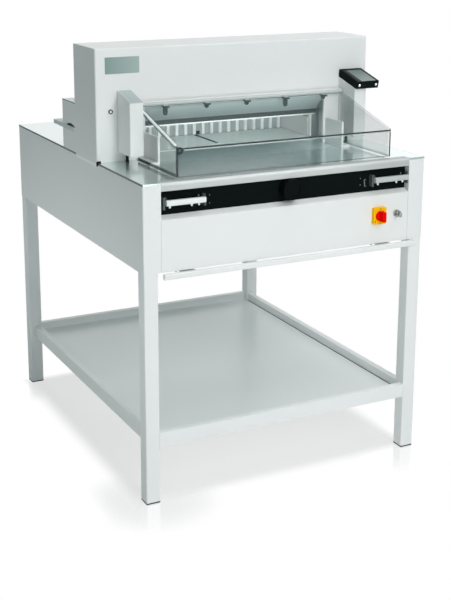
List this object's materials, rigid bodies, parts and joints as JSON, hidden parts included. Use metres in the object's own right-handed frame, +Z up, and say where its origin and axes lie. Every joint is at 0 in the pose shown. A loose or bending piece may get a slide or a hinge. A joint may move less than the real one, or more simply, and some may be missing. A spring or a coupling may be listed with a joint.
{
  "type": "electric paper cutter",
  "caption": "Floor-standing electric paper guillotine: tubular stand with tray, steel table, upright housing over the knife, and a hinged clear safety cover.",
  "frame": {"origin": "on the floor, in the middle of the machine's footprint", "axes": "+Z up; the operator stands on the -Y side; +X to the operator's right"},
  "size_m": [0.944, 1.1546, 1.296],
  "materials": {
    "white_paint": "satin light grey-white enamel",
    "grey_paint": "satin grey enamel",
    "black_paint": "satin black",
    "table_steel": "ground and polished",
    "aluminium": "anodised, satin",
    "cast_iron": "painted casting",
    "machined_steel": "machined",
    "blade_steel": "ground",
    "dark_steel": "blackened",
    "motor_paint": "dark grey enamel",
    "bright_metal": "polished",
    "black_plastic": "fine matt grain",
    "screen": "smooth clear window over a grey display",
    "white_plastic": "smooth",
    "clear_sheet": "clear, polished edges",
    "yellow_plastic": "smooth",
    "red_plastic": "smooth",
    "foot_rubber": "matt"
  },
  "bodies": {
    "machine": {"leg_front_left": "white_paint", "leg_front_right": "white_paint", "leg_rear_left": "white_paint", "leg_rear_right": "white_paint", "shelf_tray": "white_paint", "side_panel_left": "white_paint", "side_panel_right": "white_paint", "front_panel": "white_paint", "rear_panel": "white_paint", "housing_cover": "white_paint", "housing_rear": "white_paint", "arm_left": "white_paint", "arm_right": "white_paint", "rear_guard": "white_paint", "side_lays": "white_paint", "bottom_pan": "grey_paint", "knife_shield": "grey_paint", "rear_shelf": "grey_paint", "strip_panel": "black_paint", "table_front": "table_steel", "table_rear": "table_steel", "table_nose": "aluminium", "name_plate": "aluminium", "bed_frame": "cast_iron", "side_frames": "cast_iron", "crank_bearings": "cast_iron", "gear_casing": "cast_iron", "spindle_bearings": "cast_iron", "hinge_pins": "machined_steel", "lever_brackets": "machined_steel", "knee_brackets": "machined_steel", "clamp_cylinders": "machined_steel", "drive_motor": "motor_paint", "gauge_motor": "motor_paint", "cover_locks": "bright_metal", "key_lock": "bright_metal", "control_box": "black_plastic", "control_screen": "screen", "cutting_stick": "white_plastic", "switch_plate": "yellow_plastic", "foot_pads": "foot_rubber"},
    "cover": {"hinge_tube": "white_paint", "cover_clips": "machined_steel", "safety_cover": "clear_sheet"},
    "knife": {"knife_beam": "machined_steel", "blade": "blade_steel", "blade_screws": "dark_steel", "pull_rods": "machined_steel"},
    "clamp": {"clamp_beam": "machined_steel"},
    "crank": {"crankshaft": "machined_steel"},
    "gauge": {"backgauge": "white_paint"},
    "gauge_screw": {"spindle": "machined_steel"},
    "wheel": {"handwheel": "black_plastic"},
    "lever_left": {"start_lever_left": "white_plastic"},
    "lever_right": {"start_lever_right": "white_plastic"},
    "main_switch": {"switch_knob": "red_plastic"},
    "lock_key": {"key": "bright_metal"},
    "button_left": {"control_button_left": "bright_metal"},
    "button_right": {"control_button_right": "bright_metal"},
    "knee": {"knee_bar": "white_paint"}
  },
  "joints": [
    {"name": "cover_hinge", "type": "hinge", "parent": "machine", "child": "cover", "pos_m": [0, -0.21575, 1.127], "axis": [-1, 0, 0], "range_deg": [0, 70]},
    {"name": "knife_slide", "type": "slide", "parent": "machine", "child": "knife", "axis": [0, 0, -1], "range_m": [0, 0.0795]},
    {"name": "crank_turn", "type": "hinge", "parent": "machine", "child": "crank", "pos_m": [0, -0.13275, 0.795], "axis": [1, 0, 0], "range_deg": [0, 180]},
    {"name": "clamp_slide", "type": "slide", "parent": "machine", "child": "clamp", "axis": [0, 0, -1], "range_m": [0, 0.0795]},
    {"name": "gauge_slide", "type": "slide", "parent": "machine", "child": "gauge", "axis": [0, 1, 0], "range_m": [-0.186, 0.29]},
    {"name": "gauge_screw_turn", "type": "hinge", "parent": "machine", "child": "gauge_screw", "pos_m": [0, 0.23925, 0.88], "axis": [0, 1, 0], "continuous": true},
    {"name": "wheel_turn", "type": "hinge", "parent": "machine", "child": "wheel", "pos_m": [0, -0.53675, 0.9], "axis": [0, 1, 0], "continuous": true},
    {"name": "lever_left_press", "type": "hinge", "parent": "machine", "child": "lever_left", "pos_m": [-0.339, -0.52875, 0.908], "axis": [1, 0, 0], "range_deg": [0, 12], "stiffness_Nm_per_rad": 0.2, "springref_deg": -11.46},
    {"name": "lever_right_press", "type": "hinge", "parent": "machine", "child": "lever_right", "pos_m": [0.351, -0.52875, 0.908], "axis": [1, 0, 0], "range_deg": [0, 12], "stiffness_Nm_per_rad": 0.2, "springref_deg": -11.46},
    {"name": "switch_turn", "type": "hinge", "parent": "machine", "child": "main_switch", "pos_m": [0.306, -0.55875, 0.789], "axis": [0, 1, 0], "range_deg": [0, 90]},
    {"name": "key_turn", "type": "hinge", "parent": "machine", "child": "lock_key", "pos_m": [0.372, -0.55075, 0.789], "axis": [0, 1, 0], "range_deg": [0, 90]},
    {"name": "button_left_press", "type": "slide", "parent": "machine", "child": "button_left", "axis": [0, 0.9659, 0.2588], "range_m": [0, 0.002], "stiffness_N_per_m": 300, "springref_m": -0.003},
    {"name": "button_right_press", "type": "slide", "parent": "machine", "child": "button_right", "axis": [0, 0.9659, 0.2588], "range_m": [0, 0.002], "stiffness_N_per_m": 300, "springref_m": -0.003},
    {"name": "knee_press", "type": "hinge", "parent": "machine", "child": "knee", "pos_m": [0, -0.49075, 0.6895], "axis": [1, 0, 0], "range_deg": [0, 8], "stiffness_Nm_per_rad": 5, "springref_deg": -17.19}
  ],
  "couplings": [
    {"joint": "crank_turn", "follows": "knife_slide", "rad_per_m": 38.312},
    {"joint": "gauge_screw_turn", "follows": "gauge_slide", "rad_per_m": 314.16}
  ]
}
